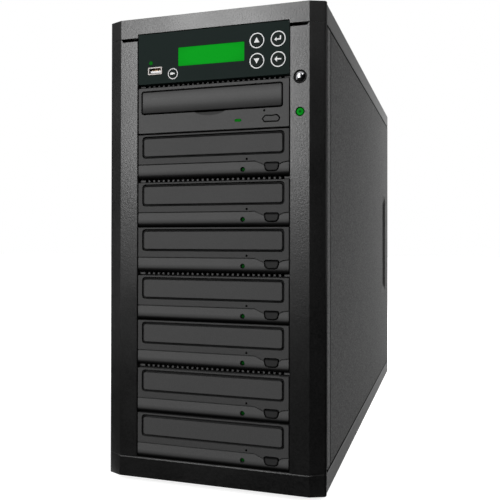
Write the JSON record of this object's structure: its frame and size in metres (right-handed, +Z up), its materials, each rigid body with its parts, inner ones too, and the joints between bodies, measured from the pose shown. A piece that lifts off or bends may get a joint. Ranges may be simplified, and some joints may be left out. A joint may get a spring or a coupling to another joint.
{
  "type": "disc duplicator tower",
  "caption": "Upright disc duplicator tower with stacked tray-loading drives behind a moulded front, a control panel with a small display, steel side panels and a rear power supply.",
  "frame": {"origin": "middle of the footprint on the surface that the feet stand on", "axes": "+X to the viewer's right of the front, +Y from the front to the rear, +Z up"},
  "size_m": [0.214, 0.4684, 0.4385],
  "materials": {
    "front_paint": "fine speckled black paint, half gloss",
    "vent_plastic": "matte moulded",
    "panel_plastic": "flat black film",
    "display": "lit green display behind a clear window",
    "circuit_board": "solder mask",
    "bright_metal": "bright plated",
    "tongue_plastic": "moulded",
    "chrome": "polished",
    "ring_plastic": "gloss black",
    "green_lamp": "clear green lens",
    "reader_plastic": "fine grained black",
    "drive_plastic": "fine grained black",
    "drive_steel": "zinc plated",
    "case_paint": "fine textured black paint",
    "cage_steel": "zinc plated",
    "supply_steel": "zinc plated",
    "fan_plastic": "moulded black",
    "inlet_plastic": "moulded black",
    "rocker_plastic": "gloss black",
    "rubber": "matte",
    "screw_metal": "plated",
    "key_plastic": "flat black",
    "tray_plastic": "fine grained black"
  },
  "bodies": {
    "case": {"base_pan": "case_paint", "bezel_bottom_cap": "front_paint", "bezel_left_pillar": "front_paint", "bezel_right_pillar": "front_paint", "bezel_top_cap": "front_paint", "control_panel": "panel_plastic", "controller_board": "circuit_board", "drive_cage": "cage_steel", "drive_housings": "drive_steel", "fan_frames": "fan_plastic", "indicator_lamps": "green_lamp", "lcd_window": "display", "mains_inlet": "inlet_plastic", "power_button_ring": "ring_plastic", "power_supply": "supply_steel", "reader_bezel": "reader_plastic", "rear_panel": "case_paint", "rubber_feet": "rubber", "top_cover": "case_paint", "usb_port": "bright_metal", "usb_tongue": "tongue_plastic", "vent_strips": "vent_plastic", "writer_bezels": "drive_plastic"},
    "reader_tray_carriage": {"reader_tray": "tray_plastic", "reader_tray_door": "reader_plastic"},
    "writer_1_tray_carriage": {"writer_1_tray": "tray_plastic", "writer_1_tray_door": "drive_plastic"},
    "writer_2_tray_carriage": {"writer_2_tray": "tray_plastic", "writer_2_tray_door": "drive_plastic"},
    "writer_3_tray_carriage": {"writer_3_tray": "tray_plastic", "writer_3_tray_door": "drive_plastic"},
    "writer_4_tray_carriage": {"writer_4_tray": "tray_plastic", "writer_4_tray_door": "drive_plastic"},
    "writer_5_tray_carriage": {"writer_5_tray": "tray_plastic", "writer_5_tray_door": "drive_plastic"},
    "writer_6_tray_carriage": {"writer_6_tray": "tray_plastic", "writer_6_tray_door": "drive_plastic"},
    "writer_7_tray_carriage": {"writer_7_tray": "tray_plastic", "writer_7_tray_door": "drive_plastic"},
    "reader_eject": {"reader_eject_button": "reader_plastic"},
    "writer_1_eject": {"writer_1_eject_button": "drive_plastic"},
    "writer_2_eject": {"writer_2_eject_button": "drive_plastic"},
    "writer_3_eject": {"writer_3_eject_button": "drive_plastic"},
    "writer_4_eject": {"writer_4_eject_button": "drive_plastic"},
    "writer_5_eject": {"writer_5_eject_button": "drive_plastic"},
    "writer_6_eject": {"writer_6_eject_button": "drive_plastic"},
    "writer_7_eject": {"writer_7_eject_button": "drive_plastic"},
    "up_button_key": {"up_button": "key_plastic"},
    "down_button_key": {"down_button": "key_plastic"},
    "enter_button_key": {"enter_button": "key_plastic"},
    "back_button_key": {"back_button": "key_plastic"},
    "usb_button_key": {"usb_button": "key_plastic"},
    "power_key": {"power_button": "chrome"},
    "rocker": {"rocker_switch": "rocker_plastic"},
    "case_fan": {"case_fan_rotor": "fan_plastic"},
    "power_supply_fan": {"power_supply_fan_rotor": "fan_plastic"},
    "left_panel": {"left_side_panel": "case_paint", "left_thumb_screws": "screw_metal"},
    "right_panel": {"right_side_panel": "case_paint", "right_thumb_screws": "screw_metal"}
  },
  "joints": [
    {"name": "reader_tray_slide", "type": "slide", "parent": "case", "child": "reader_tray_carriage", "axis": [0, -1, 0], "range_m": [0, 0.14]},
    {"name": "writer_1_tray_slide", "type": "slide", "parent": "case", "child": "writer_1_tray_carriage", "axis": [0, -1, 0], "range_m": [0, 0.14]},
    {"name": "writer_2_tray_slide", "type": "slide", "parent": "case", "child": "writer_2_tray_carriage", "axis": [0, -1, 0], "range_m": [0, 0.14]},
    {"name": "writer_3_tray_slide", "type": "slide", "parent": "case", "child": "writer_3_tray_carriage", "axis": [0, -1, 0], "range_m": [0, 0.14]},
    {"name": "writer_4_tray_slide", "type": "slide", "parent": "case", "child": "writer_4_tray_carriage", "axis": [0, -1, 0], "range_m": [0, 0.14]},
    {"name": "writer_5_tray_slide", "type": "slide", "parent": "case", "child": "writer_5_tray_carriage", "axis": [0, -1, 0], "range_m": [0, 0.14]},
    {"name": "writer_6_tray_slide", "type": "slide", "parent": "case", "child": "writer_6_tray_carriage", "axis": [0, -1, 0], "range_m": [0, 0.14]},
    {"name": "writer_7_tray_slide", "type": "slide", "parent": "case", "child": "writer_7_tray_carriage", "axis": [0, -1, 0], "range_m": [0, 0.14]},
    {"name": "reader_eject_press", "type": "slide", "parent": "case", "child": "reader_eject", "axis": [0, 1, 0], "range_m": [0, 0.001], "stiffness_N_per_m": 600, "springref_m": -0.001},
    {"name": "writer_1_eject_press", "type": "slide", "parent": "case", "child": "writer_1_eject", "axis": [0, 1, 0], "range_m": [0, 0.001], "stiffness_N_per_m": 600, "springref_m": -0.001},
    {"name": "writer_2_eject_press", "type": "slide", "parent": "case", "child": "writer_2_eject", "axis": [0, 1, 0], "range_m": [0, 0.001], "stiffness_N_per_m": 600, "springref_m": -0.001},
    {"name": "writer_3_eject_press", "type": "slide", "parent": "case", "child": "writer_3_eject", "axis": [0, 1, 0], "range_m": [0, 0.001], "stiffness_N_per_m": 600, "springref_m": -0.001},
    {"name": "writer_4_eject_press", "type": "slide", "parent": "case", "child": "writer_4_eject", "axis": [0, 1, 0], "range_m": [0, 0.001], "stiffness_N_per_m": 600, "springref_m": -0.001},
    {"name": "writer_5_eject_press", "type": "slide", "parent": "case", "child": "writer_5_eject", "axis": [0, 1, 0], "range_m": [0, 0.001], "stiffness_N_per_m": 600, "springref_m": -0.001},
    {"name": "writer_6_eject_press", "type": "slide", "parent": "case", "child": "writer_6_eject", "axis": [0, 1, 0], "range_m": [0, 0.001], "stiffness_N_per_m": 600, "springref_m": -0.001},
    {"name": "writer_7_eject_press", "type": "slide", "parent": "case", "child": "writer_7_eject", "axis": [0, 1, 0], "range_m": [0, 0.001], "stiffness_N_per_m": 600, "springref_m": -0.001},
    {"name": "up_button_press", "type": "slide", "parent": "case", "child": "up_button_key", "axis": [0, 1, 0], "range_m": [0, 0.0008], "stiffness_N_per_m": 800, "springref_m": -0.001},
    {"name": "down_button_press", "type": "slide", "parent": "case", "child": "down_button_key", "axis": [0, 1, 0], "range_m": [0, 0.0008], "stiffness_N_per_m": 800, "springref_m": -0.001},
    {"name": "enter_button_press", "type": "slide", "parent": "case", "child": "enter_button_key", "axis": [0, 1, 0], "range_m": [0, 0.0008], "stiffness_N_per_m": 800, "springref_m": -0.001},
    {"name": "back_button_press", "type": "slide", "parent": "case", "child": "back_button_key", "axis": [0, 1, 0], "range_m": [0, 0.0008], "stiffness_N_per_m": 800, "springref_m": -0.001},
    {"name": "usb_button_press", "type": "slide", "parent": "case", "child": "usb_button_key", "axis": [0, 1, 0], "range_m": [0, 0.0008], "stiffness_N_per_m": 800, "springref_m": -0.001},
    {"name": "power_press", "type": "slide", "parent": "case", "child": "power_key", "axis": [0, 1, 0], "range_m": [0, 0.002], "stiffness_N_per_m": 500, "springref_m": -0.002},
    {"name": "rocker_tilt", "type": "hinge", "parent": "case", "child": "rocker", "pos_m": [0.048, 0.22625, 0.0735], "axis": [1, 0, 0], "range_deg": [-16, 0]},
    {"name": "case_fan_spin", "type": "hinge", "parent": "case", "child": "case_fan", "pos_m": [0, 0.21205, 0.306], "axis": [0, 1, 0], "continuous": true},
    {"name": "power_supply_fan_spin", "type": "hinge", "parent": "case", "child": "power_supply_fan", "pos_m": [-0.03, 0.21105, 0.059], "axis": [0, 1, 0], "continuous": true},
    {"name": "left_panel_slide", "type": "slide", "parent": "case", "child": "left_panel", "axis": [0, 1, 0], "range_m": [0, 0.018]},
    {"name": "right_panel_slide", "type": "slide", "parent": "case", "child": "right_panel", "axis": [0, 1, 0], "range_m": [0, 0.018]}
  ]
}
